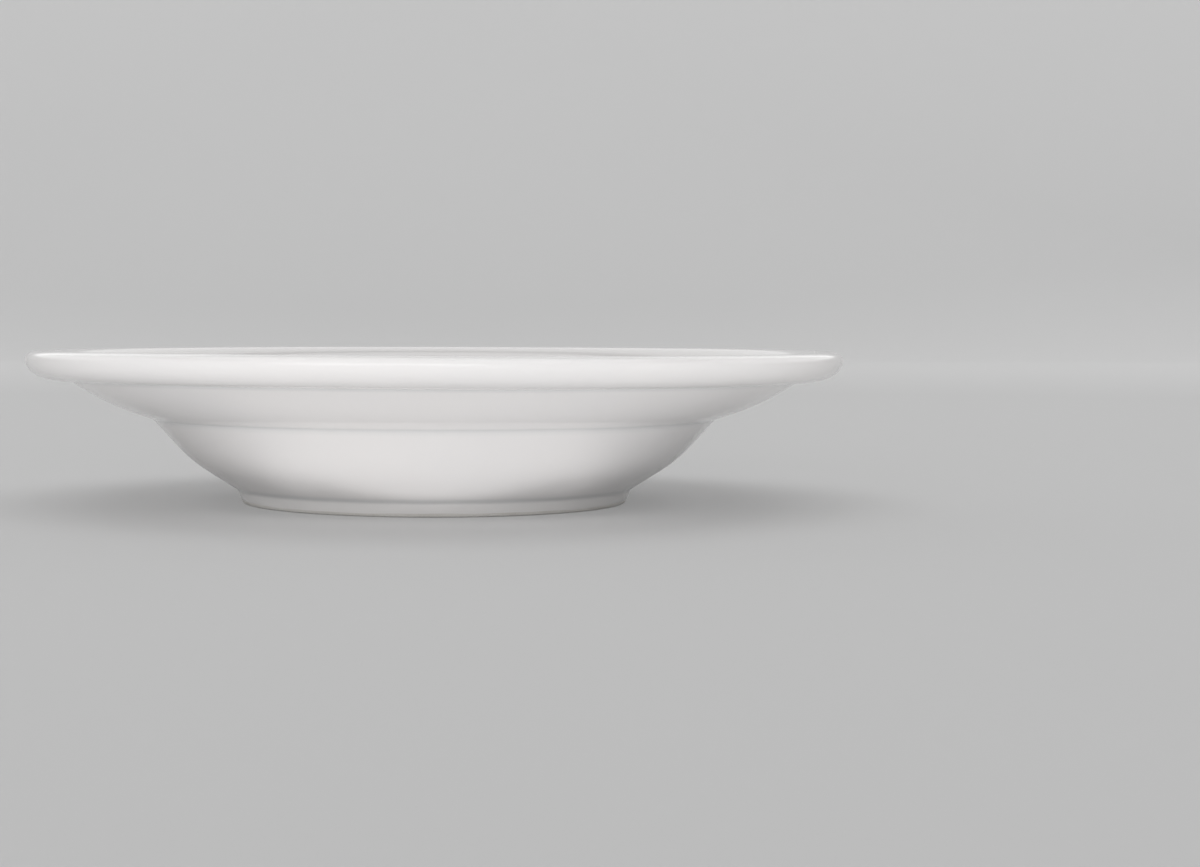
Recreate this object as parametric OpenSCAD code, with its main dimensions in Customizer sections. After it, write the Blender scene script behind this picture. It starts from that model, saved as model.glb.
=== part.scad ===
// Rimmed soup plate in hotel porcelain: one fired clay body and the glass glaze on it.
// The plate stands on z = 0 with its axis along +Z through the middle of the foot ring.
// Every outline is a half section in [radius, height], drawn to the finished, glazed surface.

/* [Plate] */
// Diameter over the rolled edge
rim_d = 230; // [212:1:260]
// Height from the table to the crest of the rolled edge
plate_h = 43; // [38:0.5:55]
// Thickness of the rim and of the well's wall
wall_t = 5; // [4:0.1:6]
// Thickness of the well's floor
floor_t = 5; // [4:0.1:7]

/* [Rolled edge] */
// Height from the crease under the edge to its crest
edge_h = 8; // [6.5:0.1:9.5]
// Width of the edge's underside, from the outside in to the crease
edge_under_w = 12; // [10:0.1:15]
// Width of the part of the underside that curves up to the outside
edge_belly_w = 8.5; // [6:0.1:9.5]
// Width of the round nose at the top outside
nose_w = 3.2; // [2:0.1:4]
// Height of the round nose at the top outside
nose_h = 2.2; // [1.5:0.1:3.2]
// Width of the edge's top, from the outside in to where the rim falls away
edge_top_w = 9; // [7:0.1:12]
// Radius that rolls the edge's top over into the rim
edge_top_round = 16; // [6:0.5:24]
// Radius in the crease under the edge
crease_round = 0.8; // [0.5:0.1:1.5]

/* [Rim] */
// Drop from the crest of the edge to the step under the rim
step_drop = 19; // [16:0.1:22]
// Diameter of the step under the rim, where the well hangs from it
step_d = 160; // [146:1:174]
// Radius in the step under the rim
step_round = 1.4; // [0.6:0.1:3]
// Radius of the rim's dished underside
dish_round = 72; // [30:1:110]
// Radius of the shoulder where the rim turns down into the well
shoulder_round = 4; // [2:0.5:8]

/* [Well] */
// Radius of the belly low on the outside of the well
belly_round = 40; // [20:1:60]
// Radius of the cove between the well's floor and its wall
cove_round = 30; // [12:1:36]

/* [Foot ring] */
// Outside diameter of the foot ring at the table
foot_d = 109.2; // [98:0.2:118]
// Height of the foot ring's outside
foot_h = 3.5; // [2.5:0.1:5]
// How far the foot ring's outside flares out over its height
foot_flare = 2; // [0.5:0.1:3]
// Width of the foot ring at the table, its rounded corners included
foot_w = 3.6; // [3:0.1:6]
// Radius of the foot ring's two corners at the table
foot_round = 0.8; // [0.4:0.1:1.2]
// Radius between the foot ring and the well
foot_fillet = 2.5; // [1:0.1:4]
// Height of the recess inside the foot ring
recess_h = 2.8; // [2.2:0.1:4]
// How far the foot ring's inside leans in over its height
recess_draft = 1.2; // [0.4:0.1:2.5]
// Radius between the foot ring's inside and the recess
recess_round = 1.6; // [0.6:0.1:2.4]

/* [Glaze] */
// Thickness of the glaze coat
glaze_t = 0.3; // [0.15:0.05:0.5]
// Height of the bare band that is wiped off both sides of the foot ring
bare_h = 1; // [0.8:0.1:1.3]
// Height over which the glaze thins out to its line on the foot ring
glaze_thin_h = 0.5; // [0.3:0.1:0.7]

/* [Hidden] */

// Farthest that a straight run may lie off the arc that it follows
arc_error = 0.008;
turn_facets = 180;

clay_white = [0.90, 0.88, 0.84];
glaze_white = [0.95, 0.95, 0.94];

// The share of a straight leg that the roundings at its two ends may take
leg_share = 0.97;
// Where the rim's underside bends between step and crease, as shares of their distance
dish_shares = [0.62, 0.44];
// Where the well's outside bends between foot and step, as shares of their distance
belly_shares = [0.56, 0.425];

rim_r = rim_d / 2;
step_r = step_d / 2;
foot_r = foot_d / 2;
nose_z = plate_h - nose_h;
crease_z = plate_h - edge_h;
floor_z = recess_h + floor_t;

// The corners of the outside, from the crease under the edge down to the foot ring
crease = [rim_r - edge_under_w, crease_z];
step = [step_r, plate_h - step_drop];
foot_top = [foot_r + foot_flare, foot_h];
dish = between(step, crease, dish_shares);
belly = between(foot_top, step, belly_shares);

// The corners of the inside lie one wall above those of the outside
rim_bend = mitred(step, dish, crease, wall_t);
shoulder = mitred(belly, step, dish, wall_t);
cove = [shoulder.x - (shoulder.y - floor_z) * (step.x - belly.x) / (step.y - belly.y), floor_z];

// The foot ring's two sides
foot_out = [foot_r, 0];
foot_in = [foot_r - foot_w, 0];
recess_top = [foot_in.x - recess_draft, recess_h];

function unit(v) = v / norm(v);
function left_of(v) = [-v.y, v.x];
function between(p, q, shares) = [p.x + (q.x - p.x) * shares.x, p.y + (q.y - p.y) * shares.y];
function at_height(p, q, z) = p + (q - p) * (z - p.y) / (q.y - p.y);
function without_first(path) = [for (i = [1 : len(path) - 1]) path[i]];
function without_last(path) = [for (i = [0 : len(path) - 2]) path[i]];
function backwards(path) = [for (i = [len(path) - 1 : -1 : 0]) path[i]];

// The corner b of the path a, b, c, moved square to both legs by t, to the path's left
function mitred(a, b, c, t) =
    let (u = left_of(unit(b - a)), v = left_of(unit(c - b)))
    b + (u + v) * t / (1 + u * v);

// How many straight runs follow an arc of radius r through angle a
function runs(r, a) = max(1, ceil(abs(a) / (2 * acos(1 - min(arc_error / r, 1)))));

// A path of corners [radius, height, rounding], each rounded by an arc that touches both
// legs. Where two roundings want more than leg_share of their leg, both are drawn in alike.
function leg(c, i) = [c[i + 1].x - c[i].x, c[i + 1].y - c[i].y];
function heading(c, i) = atan2(leg(c, i).y, leg(c, i).x);
function turn(c, i) = let (a = heading(c, i) - heading(c, i - 1)) a > 180 ? a - 360 : a < -180 ? a + 360 : a;
function wanted(c, i) = i == 0 || i == len(c) - 1 ? 0 : c[i].z * tan(abs(turn(c, i)) / 2);
function share_of(c, i) = min(1, leg_share * norm(leg(c, i)) / max(wanted(c, i) + wanted(c, i + 1), arc_error));
function corner(c, i) =
    let (
        side = sign(turn(c, i)),
        back = wanted(c, i) * min(share_of(c, i - 1), share_of(c, i)),
        r = back / tan(abs(turn(c, i)) / 2),
        start = [c[i].x, c[i].y] - unit(leg(c, i - 1)) * back,
        middle = start + left_of(unit(leg(c, i - 1))) * side * r,
        n = runs(r, turn(c, i))
    )
    [for (k = [0 : n]) let (a = heading(c, i - 1) + turn(c, i) * k / n) middle + [sin(a), -cos(a)] * side * r];
function rounded(c) = [
    [c[0].x, c[0].y],
    for (i = [1 : len(c) - 2]) each c[i].z == 0 ? [[c[i].x, c[i].y]] : corner(c, i),
    [c[len(c) - 1].x, c[len(c) - 1].y]
];

// A quarter of an ellipse of half width a and half height b, from one angle to the other
function quarter(middle, a, b, from, to) =
    let (n = runs(max(a, b), to - from))
    [for (k = [0 : n]) let (t = from + (to - from) * k / n) middle + [a * cos(t), b * sin(t)]];

// A path moved in by the glaze's thickness, square to the surface, but for the point number
// held, where the glaze ends on the clay. The plate lies to the right of its path.
function under_glaze(path, held) = [
    for (i = [0 : len(path) - 1])
        let (
            ahead = path[min(i + 1, len(path) - 1)] - path[min(i, len(path) - 2)],
            behind = path[max(i, 1)] - path[max(i - 1, 0)],
            u = left_of(unit(behind)), v = left_of(unit(ahead))
        )
        i == held ? path[i] : path[i] - (u + v) * glaze_t / (1 + u * v)
];

// The glazed surface from the middle of the well, over the rim and the rolled edge, and down
// the outside to the glaze line on the foot ring
inside_path = rounded([
    [0, floor_z, 0],
    [cove.x, cove.y, cove_round],
    [shoulder.x, shoulder.y, shoulder_round],
    [rim_bend.x, rim_bend.y, dish_round - wall_t],
    [rim_r - edge_top_w, plate_h, edge_top_round],
    [rim_r - nose_w, plate_h, 0]
]);
nose_path = quarter([rim_r - nose_w, nose_z], nose_w, nose_h, 90, 0);
edge_belly_path = quarter([rim_r - edge_belly_w, nose_z], edge_belly_w, nose_z - crease_z, 0, -90);
thin_from = at_height(foot_top, foot_out, bare_h + glaze_thin_h);
glaze_line_out = at_height(foot_top, foot_out, bare_h);
outside_path = rounded([
    [rim_r - edge_belly_w, crease_z, 0],
    [crease.x, crease.y, crease_round],
    [dish.x, dish.y, dish_round],
    [step.x, step.y, step_round],
    [belly.x, belly.y, belly_round],
    [foot_top.x, foot_top.y, foot_fillet],
    [thin_from.x, thin_from.y, 0],
    [glaze_line_out.x, glaze_line_out.y, 0]
]);
coat_path = concat(
    inside_path, without_first(nose_path), without_first(edge_belly_path), without_first(outside_path)
);
coat_under_path = under_glaze(coat_path, len(coat_path) - 1);

// The bare clay that the plate stands on, between the two glaze lines
glaze_line_in = at_height(foot_in, recess_top, bare_h);
bare_path = rounded([
    [glaze_line_out.x, glaze_line_out.y, 0],
    [foot_out.x, foot_out.y, foot_round],
    [foot_in.x, foot_in.y, foot_round],
    [glaze_line_in.x, glaze_line_in.y, 0]
]);

// The glazed surface of the recess, from the glaze line inside the foot ring to the middle
thin_from_in = at_height(foot_in, recess_top, bare_h + glaze_thin_h);
recess_path = rounded([
    [glaze_line_in.x, glaze_line_in.y, 0],
    [thin_from_in.x, thin_from_in.y, 0],
    [recess_top.x, recess_top.y, recess_round],
    [0, recess_h, 0]
]);
recess_under_path = under_glaze(recess_path, 0);

// The clay, jiggered on a mould in one piece: rolled edge, dished rim, well and foot ring
module porcelain_body() {
    color(clay_white)
        rotate_extrude($fn = turn_facets)
            polygon(concat(without_last(coat_under_path), bare_path, without_first(recess_under_path)));
}

// The glass over the whole plate, from the middle of the well to the line on the foot ring
module glaze_coat() {
    color(glaze_white)
        rotate_extrude($fn = turn_facets)
            polygon(concat(coat_path, without_first(backwards(coat_under_path))));
}

// The glass inside the foot ring, cut off from the rest by the bare band of the foot
module recess_glaze() {
    color(glaze_white)
        rotate_extrude($fn = turn_facets)
            polygon(concat(recess_path, without_last(backwards(recess_under_path))));
}

porcelain_body();
glaze_coat();
recess_glaze();
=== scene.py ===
import bpy
import numpy as np
from mathutils import Matrix, Vector


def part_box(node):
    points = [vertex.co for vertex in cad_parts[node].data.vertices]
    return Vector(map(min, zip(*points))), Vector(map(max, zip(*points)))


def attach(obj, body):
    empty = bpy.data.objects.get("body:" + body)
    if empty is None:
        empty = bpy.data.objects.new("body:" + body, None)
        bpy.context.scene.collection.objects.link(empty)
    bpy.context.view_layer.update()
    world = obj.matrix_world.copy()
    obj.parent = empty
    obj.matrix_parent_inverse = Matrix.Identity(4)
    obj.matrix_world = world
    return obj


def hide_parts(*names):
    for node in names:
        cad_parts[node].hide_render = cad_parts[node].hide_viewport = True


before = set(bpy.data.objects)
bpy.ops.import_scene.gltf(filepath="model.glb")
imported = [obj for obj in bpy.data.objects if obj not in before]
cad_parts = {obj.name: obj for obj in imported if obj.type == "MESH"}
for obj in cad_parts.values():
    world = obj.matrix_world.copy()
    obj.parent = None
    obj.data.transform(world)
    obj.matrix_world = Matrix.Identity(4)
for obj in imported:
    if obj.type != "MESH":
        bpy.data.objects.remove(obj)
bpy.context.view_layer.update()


# The fired clay: hotel porcelain, jiggered in one piece on a turning mould, so that every
# outline on it is a circle round the axis, then fettled at the foot, glazed and fired.
# It shows only where the foot ring was wiped bare to stand in the kiln. Lengths are in mm.

mm = 0.001
tiny = 0.000001
facets_round = 256

rim_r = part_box("glaze_coat")[1].x / mm
plate_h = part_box("glaze_coat")[1].z / mm
wall_t, floor_t = 5, 5
edge_under_w, edge_h, edge_belly_w, edge_top_w = 12, 8, 8.5, 9
nose_w, nose_h = 3.2, 2.2
step_r, step_drop = 80, 19
dish_shares, belly_shares = (0.62, 0.44), (0.56, 0.425)
foot_r, foot_w, foot_h, foot_flare = 54.6, 3.6, 3.8, 1.6
recess_h, recess_draft = 2.8, 1.2
glaze_t, glaze_taper_w, bare_h = 0.3, 0.575, 1

cove_round, shoulder_round, edge_top_round = 30, 4, 16
crease_round, dish_round, step_round, belly_round = 0.8, 72, 1.4, 40
foot_fillet, foot_round, recess_round = 2.5, 0.8, 1.6


def unit(v):
    """Each vector of the array, divided by its length."""
    return v / np.linalg.norm(v, axis=-1, keepdims=True)


def left_of(v):
    """Each vector turned a quarter turn to its left, which on an outline points out of the clay."""
    return np.stack([-v[..., 1], v[..., 0]], axis=-1)


def between(p, q, shares):
    """The point that lies those shares of the way from p to q, across and up."""
    return p + (q - p) * np.array(shares)


def at_height(p, q, z):
    """The point of the line from p to q at height z."""
    return p + (q - p) * (z - p[1]) / (q[1] - p[1])


def mitred(a, b, c, t):
    """The corner b of the outline a, b, c, moved square to both of its legs by t, to the left."""
    u, v = left_of(unit(b - a)), left_of(unit(c - b))
    return b + (u + v) * t / (1 + u @ v)


def rounded(corners, radii, points=64, leg_share=0.97):
    """The outline through the corners, each but the two ends swapped for an arc that touches
    both legs. It starts radius * tan(turn / 2) back along the first leg, and its middle lies a
    radius square to that leg, on the side that the outline turns to. Where two arcs want more
    than leg_share of the leg between them, both are drawn in by the same share."""
    corners = np.array(corners, float)
    legs = np.diff(corners, axis=0)
    headings = np.unwrap(np.arctan2(legs[:, 1], legs[:, 0]))
    turns = np.diff(headings)
    wanted = np.concatenate([[0], np.array(radii) * np.tan(abs(turns) / 2), [0]])
    room = leg_share * np.linalg.norm(legs, axis=1)
    shares = np.minimum(1, room / np.maximum(wanted[:-1] + wanted[1:], tiny))
    backs = wanted[1:-1] * np.minimum(shares[:-1], shares[1:])
    reach = (np.sign(turns) * backs / np.tan(abs(turns) / 2))[:, None]
    starts = corners[1:-1] - unit(legs[:-1]) * backs[:, None]
    middles = starts + left_of(unit(legs[:-1])) * reach
    angles = headings[:-1, None] + turns[:, None] * np.linspace(0, 1, points)
    arcs = middles[:, None] + reach[:, None] * np.stack([np.sin(angles), -np.cos(angles)], axis=-1)
    return np.concatenate([corners[:1], arcs.reshape(-1, 2), corners[-1:]])


def quarter(middle, half_w, half_h, start, end, points=96):
    """A quarter of an ellipse about middle: half_w cos a across and half_h sin a up, in degrees."""
    a = np.radians(np.linspace(start, end, points))
    return np.stack([middle[0] + half_w * np.cos(a), middle[1] + half_h * np.sin(a)], axis=-1)


def in_rows(outline, rows, length_step=1.1, turn_step=5):
    """That many points of the outline, evenly spaced in a measure that adds the length, over
    length_step mm, to the angle turned, over turn_step degrees, so that tight curves get close
    rows. The turn at a point counts half on each side of it."""
    outline = outline[np.append(True, np.linalg.norm(np.diff(outline, axis=0), axis=1) > tiny)]
    legs = np.diff(outline, axis=0)
    turns = abs(np.degrees(np.diff(np.unwrap(np.arctan2(legs[:, 1], legs[:, 0])))))
    turns = (np.append(0, turns) + np.append(turns, 0)) / 2
    steps = np.linalg.norm(legs, axis=1) / length_step + turns / turn_step
    measure = np.append(0, np.cumsum(steps))
    even = np.linspace(0, measure[-1], rows)
    return np.stack([np.interp(even, measure, outline[:, k]) for k in (0, 1)], axis=-1)


def lengths_along(outline):
    """How far each point lies along the outline from its start, in mm."""
    return np.append(0, np.cumsum(np.linalg.norm(np.diff(outline, axis=0), axis=1)))


def under_glaze(outline, line_first=False):
    """The outline moved into the clay, square to the surface, by the thickness of the glaze,
    which tapers evenly to nothing at its line on the foot. The line is the outline's end or,
    where line_first says so, its start."""
    legs = unit(np.diff(outline, axis=0))
    u = left_of(np.concatenate([legs[:1], legs]))
    v = left_of(np.concatenate([legs, legs[-1:]]))
    along = lengths_along(outline)
    from_line = along if line_first else along[-1] - along
    depth = glaze_t * np.clip(from_line / glaze_taper_w, 0, 1)
    return outline - (u + v) * (depth / (1 + np.sum(u * v, axis=1)))[:, None]


def fired(r, z, turn):
    """How the kiln and the hand leave a turned shape, in mm. The rim sinks out of true by a
    sum of three sine waves round the turn, growing as a smooth step from sag_from to the edge.
    The glaze line wanders up and down the leaning sides of the foot ring by three finer waves,
    which are full at the line and fade out to wander_low and wander_high."""
    sag_from, foot_mid, beside_foot = 58, 53, 4
    wander_low, wander_high = 0.5, 2.4
    reach = np.clip((r - sag_from) / (rim_r - sag_from), 0, 1)
    sag = 0.23 * np.sin(turn) + 0.10 * np.sin(2 * turn) + 0.08 * np.sin(3 * turn)
    wander = 0.08 * np.sin(5 * turn + 1) + 0.06 * np.sin(11 * turn + 2) + 0.04 * np.sin(23 * turn)
    below = np.clip((z - wander_low) / (bare_h - wander_low), 0, 1)
    above = np.clip((wander_high - z) / (wander_high - bare_h), 0, 1)
    near = below * above * (abs(r - foot_mid) < beside_foot)
    lean = np.where(r > foot_mid, foot_flare / foot_h, -recess_draft / recess_h)
    return r + lean * near * wander, z + near * wander - reach * reach * (3 - 2 * reach) * sag


def turned(name, outline, facts=None, shaped=fired):
    """The outline swung round the axis in equal steps: point (r, z) becomes the ring
    (r sin a, -r cos a, z), with r and z as shaped leaves them. A point on the axis becomes
    one vertex, with a fan of triangles to the next ring. The outline keeps the clay on its
    right, so every face points out. facts are numbers for each point, kept as attributes."""
    ring = outline[:, 0] > tiny
    a = np.linspace(0, 2 * np.pi, facets_round, endpoint=False)
    r, z = shaped(outline[ring, :1], outline[ring, 1:], a[None])
    rings = np.stack([r * np.sin(a), -r * np.cos(a), z], axis=-1).reshape(-1, 3)
    poles = np.insert(outline[~ring], 1, 0, axis=1)
    corner = np.arange(ring.sum())[:, None] * facets_round + np.arange(facets_round)
    beside = np.roll(corner, -1, axis=1)
    quads = np.stack([corner[:-1], corner[1:], beside[1:], beside[:-1]], axis=-1).reshape(-1, 4)
    fans = []
    if not ring[0]:
        first = np.full(facets_round, len(rings))
        fans.append(np.stack([first, corner[0], beside[0]], axis=-1))
    if not ring[-1]:
        last = np.full(facets_round, len(rings) + len(poles) - 1)
        fans.append(np.stack([corner[-1], last, beside[-1]], axis=-1))
    mesh = bpy.data.meshes.new(name)
    places = np.concatenate([rings, poles]) * mm
    mesh.from_pydata(places, [], quads.tolist() + np.concatenate(fans).tolist())
    for fact, values in (facts or {}).items():
        kept = np.concatenate([np.repeat(values[ring], facets_round), values[~ring]])
        attribute = mesh.attributes.new(fact, "FLOAT", "POINT")
        attribute.data.foreach_set("value", kept.astype(np.float32))
    mesh.shade_smooth()
    mesh.set_sharp_from_angle(angle=np.radians(40))
    piece = bpy.data.objects.new(name, mesh)
    bpy.context.collection.objects.link(piece)
    return piece


# The outside is laid out as a template: the corners from the crease under the rolled edge
# down to the foot. The inside's corners lie one wall above them.
crease = np.array([rim_r - edge_under_w, plate_h - edge_h])
step = np.array([step_r, plate_h - step_drop])
foot_top = np.array([foot_r + foot_flare, foot_h])
foot_out = np.array([foot_r, 0])
foot_in = np.array([foot_r - foot_w, 0])
recess_top = np.array([foot_in[0] - recess_draft, recess_h])
dish = between(step, crease, dish_shares)
belly = between(foot_top, step, belly_shares)
rim_bend = mitred(step, dish, crease, wall_t)
shoulder = mitred(belly, step, dish, wall_t)
cove = at_height(shoulder, shoulder - (step - belly), recess_h + floor_t)
glaze_line_out = at_height(foot_top, foot_out, bare_h)
glaze_line_in = at_height(foot_in, recess_top, bare_h)
edge_top, nose_top = (rim_r - edge_top_w, plate_h), (rim_r - nose_w, plate_h)
nose_z = plate_h - nose_h

inside = rounded(
    [(0, cove[1]), cove, shoulder, rim_bend, edge_top, nose_top],
    [cove_round, shoulder_round, dish_round - wall_t, edge_top_round],
)
nose = quarter((rim_r - nose_w, nose_z), nose_w, nose_h, 90, 0)
edge_belly = quarter((rim_r - edge_belly_w, nose_z), edge_belly_w, nose_z - crease[1], 0, -90)
outside = rounded(
    [(rim_r - edge_belly_w, crease[1]), crease, dish, step, belly, foot_top, glaze_line_out],
    [crease_round, dish_round, step_round, belly_round, foot_fillet],
)
foot_ring = rounded(
    [glaze_line_out, foot_out, foot_in, glaze_line_in], [foot_round, foot_round]
)
under_side = rounded([glaze_line_in, recess_top, (0, recess_h)], [recess_round])

glazed = in_rows(np.concatenate([inside, nose, edge_belly, outside]), rows=250)
under_glazed = under_glaze(in_rows(glazed, rows=110))
bare = in_rows(foot_ring, rows=48, length_step=0.3)
recess = in_rows(under_side, rows=70)
under_recess = under_glaze(recess, line_first=True)
clay = turned("fired_clay", np.concatenate([under_glazed, bare[1:], under_recess[1:]]))


def add(material, kind, inputs, **settings):
    """A node of that kind in the material, with its settings, and each input linked where a
    socket is given and set where a value is given."""
    node = material.node_tree.nodes.new(kind)
    for name, value in settings.items():
        setattr(node, name, value)
    for name, value in inputs.items():
        if isinstance(value, bpy.types.NodeSocket):
            material.node_tree.links.new(value, node.inputs[name])
        else:
            node.inputs[name].default_value = value
    return node


def finish_of(name, piece, **constants):
    """A new material on the piece, its shader with those constant sockets, and the piece's own
    coordinates in metres."""
    material = bpy.data.materials.new(name)
    material.use_nodes = True
    shader = material.node_tree.nodes["Principled BSDF"]
    for socket, value in constants.items():
        shader.inputs[socket.replace("_", " ")].default_value = value
    piece.data.materials.append(material)
    place = add(material, "ShaderNodeTexCoord", {}).outputs["Object"]
    return material, shader, place


def clouds(material, place, scale, detail):
    """Soft random clouds from 0 to 1, of that scale to the metre, with detail finer ones in them."""
    inputs = {"Vector": place, "Scale": scale, "Detail": detail}
    return add(material, "ShaderNodeTexNoise", inputs).outputs["Fac"]


def ringed(material, length, scale, detail):
    """Random rings from 0 to 1: the clouds of one length, such as the radius."""
    inputs = {"W": length, "Scale": scale, "Detail": detail}
    return add(material, "ShaderNodeTexNoise", inputs, noise_dimensions="1D").outputs["Fac"]


def mixed(material, factor, a, b):
    """The colour that lies factor of the way from a to b."""
    inputs = {"Factor": factor, 6: a, 7: b}
    return add(material, "ShaderNodeMix", inputs, data_type="RGBA").outputs[2]


def spread(material, value, low, high, start=0.0, end=1.0):
    """value, which runs from start to end, mapped evenly onto low to high and held there."""
    inputs = {"Value": value, "From Min": start, "From Max": end, "To Min": low, "To Max": high}
    return add(material, "ShaderNodeMapRange", inputs).outputs["Result"]


def relief(material, layers):
    """The surface's normal, bent by each layer in turn. A layer is its height from 0 to 1, its
    strength, and its depth in mm."""
    normal = {}
    for height, strength, depth in layers:
        inputs = {"Height": height, "Strength": strength, "Distance": depth * mm}
        normal = {"Normal": add(material, "ShaderNodeBump", inputs | normal).outputs["Normal"]}
    return normal["Normal"]


# The bare foot: unglazed clay is a chalky off-white. It is ground on a belt, which leaves fine
# rings of scratches, and it greys a little where it stands on the table.
chalk, chalk_shade = (0.78, 0.765, 0.735, 1), (0.74, 0.72, 0.685, 1)
ground_grey, table_grey = (0.60, 0.57, 0.53, 1), (0.58, 0.575, 0.56, 1)

material, shader, place = finish_of("bare_porcelain", clay, IOR=1.5)
link = material.node_tree.links.new
grain = clouds(material, place, scale=2600, detail=4)
blotch = clouds(material, place, scale=120, detail=3)
xyz = add(material, "ShaderNodeSeparateXYZ", {"Vector": place}).outputs
across = add(material, "ShaderNodeCombineXYZ", {"X": xyz["X"], "Y": xyz["Y"]}).outputs[0]
radius = add(material, "ShaderNodeVectorMath", {0: across}, operation="LENGTH").outputs["Value"]
scratches = ringed(material, radius, scale=6500, detail=2)
shaded = spread(material, blotch, 0, 1, start=0.35, end=0.65)
ground = spread(material, grain, 0, 0.25, start=0.45, end=0.75)
worn = spread(material, xyz["Z"], 0.55, 0, start=0.05 * mm, end=0.6 * mm)
tone = mixed(material, shaded, chalk, chalk_shade)
tone = mixed(material, ground, tone, ground_grey)
tone = mixed(material, worn, tone, table_grey)
link(tone, shader.inputs["Base Color"])
link(spread(material, scratches, 0.62, 0.85), shader.inputs["Roughness"])
link(relief(material, [(grain, 0.7, 0.04), (scratches, 0.5, 0.02)]), shader.inputs["Normal"])

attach(clay, "root")
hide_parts("porcelain_body")


# The glaze over the plate: clear glass over white clay, 0.3 mm thick, dipped and fired, one
# skin from the middle of the well over the rim and the rolled edge to its line on the foot.
# It gathers a little in the crease, under the step and above the foot, and there its colour
# is painted darker as shade.


def pooled_shade_of(outline):
    """How dark the painted shade in each point's hollow is, from 0 to 1, partly also standing for
    glaze that runs into the hollow: the outline's turn to its left, in radians, spread along it
    by a bell curve of bell_w to each side, times reach. Near the foot the painted shade is lifted
    by a set length above the corner, onto the bowl, where the shade lies."""
    bell_w, reach, shade_lift = 0.7, 2.4, 0.9
    along = lengths_along(outline)
    legs = np.diff(outline, axis=0)
    turns = np.diff(np.unwrap(np.arctan2(legs[:, 1], legs[:, 0])))
    hollow = np.clip(np.concatenate([[0], turns, [0]]), 0, None)
    low = (outline[:, 0] > foot_r) & (outline[:, 1] < 2 * foot_h)
    apart = along[:, None] - (along - shade_lift * low)
    bell = np.exp(-0.5 * (apart / bell_w) ** 2) / (bell_w * np.sqrt(2 * np.pi))
    return np.clip(reach * bell @ hollow, 0, 1)


def skin(face, back, line_first=False):
    """The closed outline of a coat, out along its face and home along its back, or, where the
    face starts at its line on the foot, out along its back first. With it go three facts of
    each point of the face, which are 0 on the back: how far along it the point is, in metres,
    how dark the painted shade in its hollow is, and how strong the painted light on the foot
    is, which is 1 beside its line and fades to 0 over the last fade_w of the painted width."""
    foot_lit_w, fade_w = 3.4, 0.8
    along = lengths_along(face)
    from_line = along if line_first else along[-1] - along
    facts = {
        "along": along * mm,
        "pool_shade": pooled_shade_of(face),
        "foot_lit": np.clip((foot_lit_w - from_line) / fade_w, 0, 1),
    }
    hidden = np.zeros(len(back) - 1)
    if line_first:
        outline = np.concatenate([back[:0:-1], face])
        return outline, {fact: np.append(hidden, values) for fact, values in facts.items()}
    outline = np.concatenate([face, back[-2::-1]])
    return outline, {fact: np.append(values, hidden) for fact, values in facts.items()}


def fact_of(material, fact):
    """One of the facts that a skin keeps for each of its points."""
    return add(material, "ShaderNodeAttribute", {}, attribute_name=fact).outputs["Fac"]


def worked(material, operation, a, b):
    """The two numbers put through one operation of a Math node."""
    return add(material, "ShaderNodeMath", {0: a, 1: b}, operation=operation).outputs[0]


def glaze_finish(piece):
    """White gloss glaze. Its colour drifts by a hundredth over centimetres. On the foot beside its
    line it is painted a shade whiter, as painted light. In the crease, under the step and above
    the foot it is painted cooler and darker, as painted shade that partly stands for glaze run
    into the hollows. A few grains of iron lie in it. Its face has the slow ripple of fired glass,
    rings from the jigger's template, and a polish that varies a little."""
    white, white_drift = (0.815, 0.797, 0.79, 1), (0.795, 0.782, 0.78, 1)
    # Next: painted light for the foot beside the glaze line, then painted shade for the hollows.
    foot_light_white, pooled_shade_grey = (0.90, 0.885, 0.875, 1), (0.62, 0.63, 0.635, 1)
    iron, rare = (0.30, 0.22, 0.15, 1), 0.97
    ripple_h, ring_h = 0.0025, 0.0025

    material, shader, place = finish_of("white_glaze_" + piece.name, piece, IOR=1.5)
    link = material.node_tree.links.new
    drift = clouds(material, place, scale=22, detail=2)
    peel = clouds(material, place, scale=170, detail=1.5)
    haze = clouds(material, place, scale=90, detail=4)
    rings = ringed(material, fact_of(material, "along"), scale=330, detail=2)
    grains = add(material, "ShaderNodeTexVoronoi", {"Vector": place, "Scale": 260}).outputs
    chance = add(material, "ShaderNodeSeparateXYZ", {"Vector": grains["Color"]}).outputs["X"]
    grain = spread(material, grains["Distance"], 0.6, 0, start=0.02, end=0.07)
    spot = worked(material, "MULTIPLY", grain, worked(material, "GREATER_THAN", chance, rare))
    drifted = spread(material, drift, 0, 1, start=0.3, end=0.7)
    # Painted shade: the glaze is made darker and cooler in the hollows, where shade falls, partly
    # for glaze run there.
    pooled_shade = spread(material, fact_of(material, "pool_shade"), 0, 0.85)
    tone = mixed(material, drifted, white, white_drift)
    # Painted light: the glaze on the foot beside its line is made whiter, where the foot would
    # render darker.
    tone = mixed(material, fact_of(material, "foot_lit"), tone, foot_light_white)
    tone = mixed(material, pooled_shade, tone, pooled_shade_grey)
    tone = mixed(material, spot, tone, iron)
    link(tone, shader.inputs["Base Color"])
    link(spread(material, haze, 0.08, 0.14, start=0.3, end=0.7), shader.inputs["Roughness"])
    link(relief(material, [(peel, 1, ripple_h), (rings, 1, ring_h)]), shader.inputs["Normal"])


coat = turned("glaze_over_plate", *skin(glazed, under_glazed))
glaze_finish(coat)
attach(coat, "root")
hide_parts("glaze_coat")


# The glaze in the recess: the same glass inside the foot ring, dipped with the rest and cut
# off from it by the bare ring, which is wiped so that the plate doesn't fuse to the kiln shelf.
recess_coat = turned("glaze_in_recess", *skin(recess, under_recess, line_first=True))
glaze_finish(recess_coat)
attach(recess_coat, "root")
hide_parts("recess_glaze")


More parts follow.
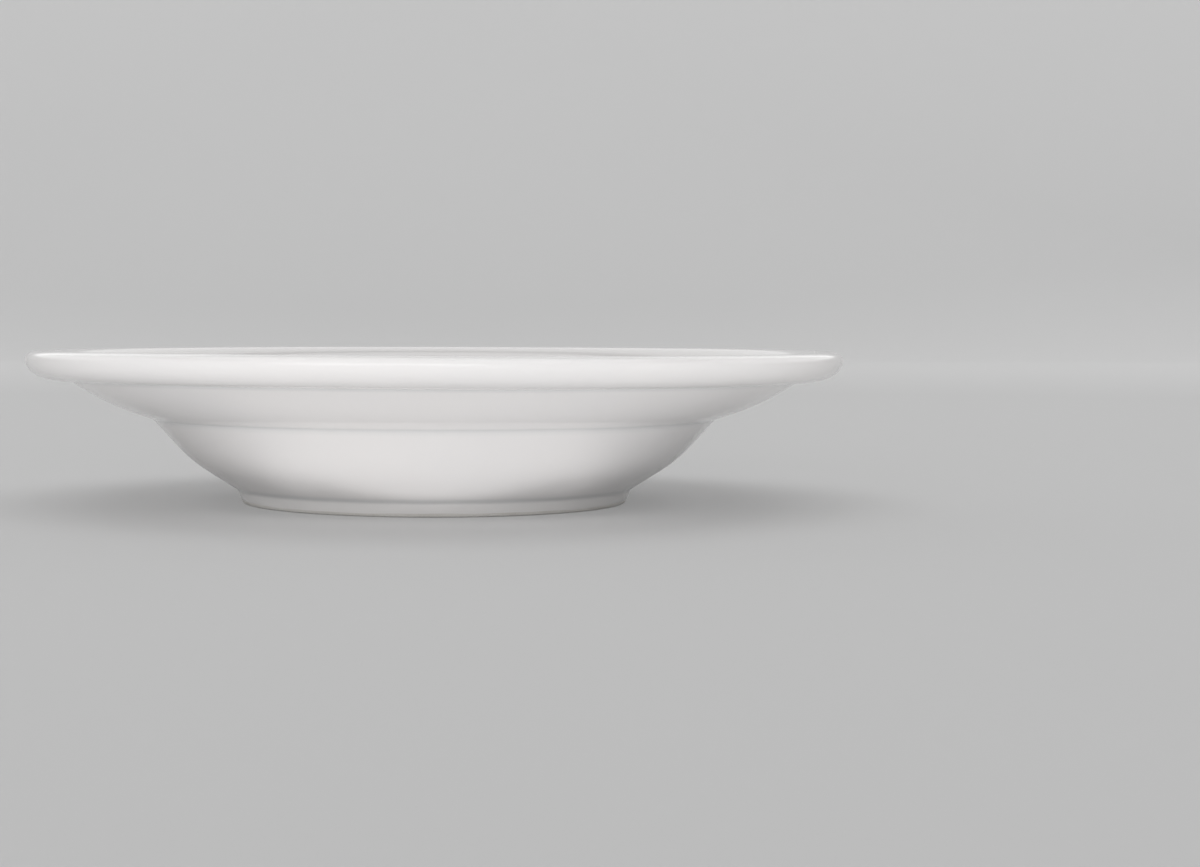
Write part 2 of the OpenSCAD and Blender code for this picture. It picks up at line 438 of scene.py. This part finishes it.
# The studio: a pale paper sweep all round, flat under the plate and curving up into a wall.
# It isn't part of the object. The camera and the gloss see it with a little glow of its own,
# which grows towards the wall, where the lamps reach it less.
wall_r, wall_h, bend_r, floor_rings = 4000, 4000, 1600, 40
paper_white, paper_seen, glow_white = (0.75, 0.75, 0.75, 1), (0.40, 0.40, 0.40, 1), (1, 1, 1, 1)
glow_near, glow_far, glow_from, glow_to = 0.17, 0.40, 1.0, 4.0


def unfired(r, z, turn):
    """Paper keeps its radius and height all the way round."""
    return np.broadcast_arrays(r, z, turn)[:2]


floor = np.stack([np.linspace(0, wall_r - bend_r, floor_rings), np.zeros(floor_rings)], axis=-1)
bend = quarter((wall_r - bend_r, bend_r), bend_r, bend_r, -90, 0)
paper = np.concatenate([floor, bend[1:], [(wall_r, wall_h)]])
sweep = turned("paper_sweep", paper, shaped=unfired)

material, shader, place = finish_of("pale_paper", sweep, Roughness=0.8, IOR=1.3)
shader.inputs["Emission Color"].default_value = glow_white
material.cycles.emission_sampling = "NONE"
link = material.node_tree.links.new
ray = add(material, "ShaderNodeLightPath", {}).outputs
seen = worked(material, "MAXIMUM", ray["Is Camera Ray"], ray["Is Glossy Ray"])
seen = worked(material, "MAXIMUM", seen, ray["Is Transmission Ray"])
away = add(material, "ShaderNodeVectorMath", {0: place}, operation="LENGTH").outputs["Value"]
glow = spread(material, away, glow_near, glow_far, start=glow_from, end=glow_to)
link(mixed(material, seen, paper_white, paper_seen), shader.inputs["Base Color"])
link(worked(material, "MULTIPLY", seen, glow), shader.inputs["Emission Strength"])


def softbox(name, place, aim, size, watts, seen=True):
    """A rectangular lamp at place, facing aim, in metres. seen says whether reflections show it."""
    lamp = bpy.data.lights.new(name, "AREA")
    lamp.shape = "RECTANGLE"
    lamp.size, lamp.size_y = size
    lamp.energy = watts
    holder = bpy.data.objects.new(name, lamp)
    bpy.context.collection.objects.link(holder)
    facing = (Vector(aim) - Vector(place)).to_track_quat("-Z", "Y")
    holder.matrix_world = Matrix.Translation(place) @ facing.to_matrix().to_4x4()
    holder.visible_camera = False
    holder.visible_glossy = seen


def card(name, x, y, z, size, watts):
    """A lamp that lies flat just over the table and faces up. Reflections don't show it."""
    softbox(name, (x, y, z), (x, y, 1), size, watts, seen=False)


plate = (0, 0, 0.03)
softbox("front_box", (-0.569, -2.125, 0.66), plate, (2.4, 0.9), 12.9)
softbox("left_back_box", (-1.685, 1.414, 1.3), plate, (2.6, 1.6), 8)
softbox("back_box", (0, 2.2, 1.3), plate, (2.6, 1.6), 5)
softbox("right_back_box", (1.685, 1.414, 1.3), plate, (2.6, 1.6), 8)
softbox("overhead_box", (0, 0, 2.6), plate, (3.6, 3.6), 49.5)

# Cards on the table in front throw light up under the rim and at the foot
card("front_card", 0, -0.60, 0.003, (0.8, 0.3), 14.7)
card("left_card", -0.2, -0.2, 0.003, (0.14, 0.14), 0.137)
card("right_card", 0.2, -0.2, 0.003, (0.14, 0.14), 0.151)
card("foot_card", 0, -0.085, 0.002, (0.10, 0.05), 0.007)
card("left_foot_card", -0.06, -0.07, 0.002, (0.05, 0.04), 0.0013)
card("right_foot_card", 0.06, -0.07, 0.002, (0.05, 0.04), 0.0011)

# A little light comes from all round
world = bpy.data.worlds.new("studio_air")
bpy.context.scene.world = world
world.use_nodes = True
air = world.node_tree.nodes["Background"].inputs
air["Color"].default_value = (1, 1, 1, 1)
air["Strength"].default_value = 0.03

# The photograph's view: 600 mm from the plate's axis and 50 mm above the table, looking down
# by 2.92 degrees. The plate stands at pixel 434 across the frame of 1200 by 867.
frame_w, plate_x, focal, sensor_w = 1200, 434, 2095.8, 36
eye_away, eye_h, look_down = 0.600, 0.04984, 2.92
camera = bpy.data.objects.new("photo_view", bpy.data.cameras.new("photo_view"))
bpy.context.collection.objects.link(camera)
camera.data.sensor_width = sensor_w
camera.data.lens = sensor_w * focal / frame_w
camera.data.shift_x = (frame_w / 2 - plate_x) / frame_w
camera.data.clip_start = 0.01
camera.location = (0, -eye_away, eye_h)
camera.rotation_euler = (np.radians(90 - look_down), 0, 0)
bpy.context.scene.camera = camera
bpy.context.scene.view_settings.view_transform = "Standard"
